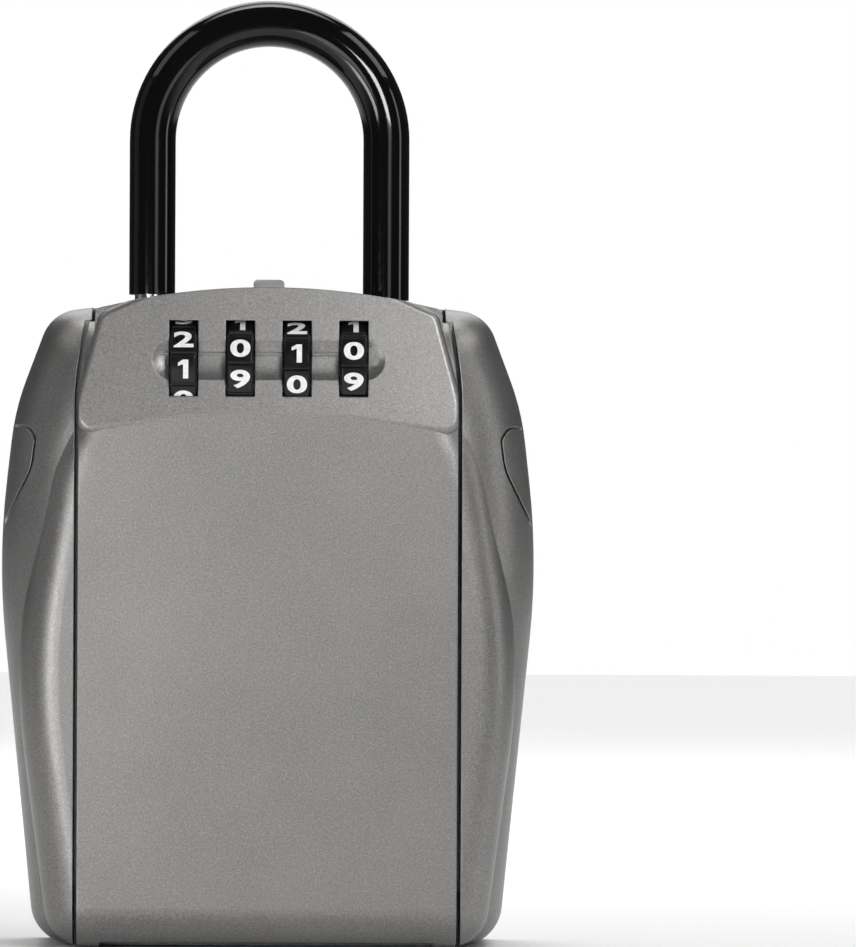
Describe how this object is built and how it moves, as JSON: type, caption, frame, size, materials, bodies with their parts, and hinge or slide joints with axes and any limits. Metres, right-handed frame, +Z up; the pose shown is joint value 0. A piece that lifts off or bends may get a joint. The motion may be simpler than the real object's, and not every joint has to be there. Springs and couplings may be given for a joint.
{
  "type": "four-dial key lock box with shackle",
  "caption": "Cast key box with number dials, a sprung drop-down door, side bolts and a lifting vinyl-covered shackle.",
  "frame": {"origin": "on the foot of the box, midway across, 24 mm in front of the back face", "axes": "+X to the right of someone facing the door, +Y out of the back, the door faces -Y, +Z up"},
  "size_m": [0.1062, 0.0452, 0.1896],
  "materials": {
    "grey_paint": "metallic grey powder paint, fine grain, satin",
    "dark_casting": "dark grey cast metal, matt",
    "leaf_metal": "light silver grey, satin",
    "shackle_steel": "bright polished steel",
    "black_vinyl": "smooth glossy vinyl",
    "dial_black": "glossy black with white raised numbers",
    "inner_metal": "plain stamped steel",
    "screw_steel": "zinc plated steel",
    "spring_wire": "bright spring wire",
    "brass_sleeve": "turned brass"
  },
  "bodies": {
    "housing": {"housing_shell": "grey_paint", "side_insert_left": "grey_paint", "side_insert_right": "grey_paint", "header_plate": "grey_paint", "header_rivets": "grey_paint", "shackle_block": "dark_casting", "slide_spring": "spring_wire", "hinge_block": "dark_casting", "hinge_screws": "screw_steel", "hinge_pin": "shackle_steel"},
    "shackle": {"shackle_bar": "shackle_steel", "shackle_sleeve": "black_vinyl", "shackle_ring": "spring_wire"},
    "shackle_catch": {"shackle_slide": "inner_metal", "release_pin": "shackle_steel"},
    "door": {"door_front": "grey_paint", "lock_cover": "grey_paint", "cover_screws": "screw_steel", "dial_axle": "shackle_steel", "axle_clips": "spring_wire", "dial_spacers": "inner_metal", "detent_spring": "spring_wire", "latch_springs": "spring_wire", "hinge_leaf_left": "leaf_metal", "hinge_leaf_right": "leaf_metal", "leaf_screws": "screw_steel", "door_spring": "spring_wire"},
    "button": {"latch_plate": "inner_metal"},
    "bolt_left": {"latch_bolt_left": "inner_metal"},
    "bolt_right": {"latch_bolt_right": "inner_metal"},
    "code_change": {"code_slider": "dark_casting"},
    "dial_1": {"dial_wheel_1": "dial_black", "code_sleeve_1": "brass_sleeve"},
    "dial_2": {"dial_wheel_2": "dial_black", "code_sleeve_2": "brass_sleeve"},
    "dial_3": {"dial_wheel_3": "dial_black", "code_sleeve_3": "brass_sleeve"},
    "dial_4": {"dial_wheel_4": "dial_black", "code_sleeve_4": "brass_sleeve"}
  },
  "joints": [
    {"name": "door_hinge", "type": "hinge", "parent": "housing", "child": "door", "pos_m": [0, -0.0125, 0.005], "axis": [1, 0, 0], "range_deg": [0, 100], "deforming": ["door_spring"]},
    {"name": "shackle_lift", "type": "slide", "parent": "housing", "child": "shackle", "axis": [0, 0, 1], "range_m": [0, 0.035]},
    {"name": "shackle_release", "type": "slide", "parent": "housing", "child": "shackle_catch", "axis": [-1, 0, 0], "range_m": [0, 0.003], "stiffness_N_per_m": 200, "springref_m": -0.004, "deforming": ["slide_spring"]},
    {"name": "release_button", "type": "slide", "parent": "door", "child": "button", "axis": [0, 0, -1], "range_m": [0, 0.0018], "stiffness_N_per_m": 300, "springref_m": -0.003, "deforming": ["latch_springs"]},
    {"name": "bolt_left_draw", "type": "slide", "parent": "door", "child": "bolt_left", "axis": [1, 0, 0], "range_m": [0, 0.0018]},
    {"name": "bolt_right_draw", "type": "slide", "parent": "door", "child": "bolt_right", "axis": [-1, 0, 0], "range_m": [0, 0.0018]},
    {"name": "code_change_slide", "type": "slide", "parent": "door", "child": "code_change", "axis": [1, 0, 0], "range_m": [0, 0.003]},
    {"name": "dial_1_turn", "type": "hinge", "parent": "door", "child": "dial_1", "pos_m": [-0.01684, -0.0112, 0.1152], "axis": [1, 0, 0], "continuous": true},
    {"name": "dial_2_turn", "type": "hinge", "parent": "door", "child": "dial_2", "pos_m": [-0.00562, -0.0112, 0.1152], "axis": [1, 0, 0], "continuous": true},
    {"name": "dial_3_turn", "type": "hinge", "parent": "door", "child": "dial_3", "pos_m": [0.00562, -0.0112, 0.1152], "axis": [1, 0, 0], "continuous": true},
    {"name": "dial_4_turn", "type": "hinge", "parent": "door", "child": "dial_4", "pos_m": [0.01684, -0.0112, 0.1152], "axis": [1, 0, 0], "continuous": true}
  ],
  "couplings": [
    {"joint": "bolt_left_draw", "follows": "release_button", "ratio": 1},
    {"joint": "bolt_right_draw", "follows": "release_button", "ratio": 1}
  ]
}
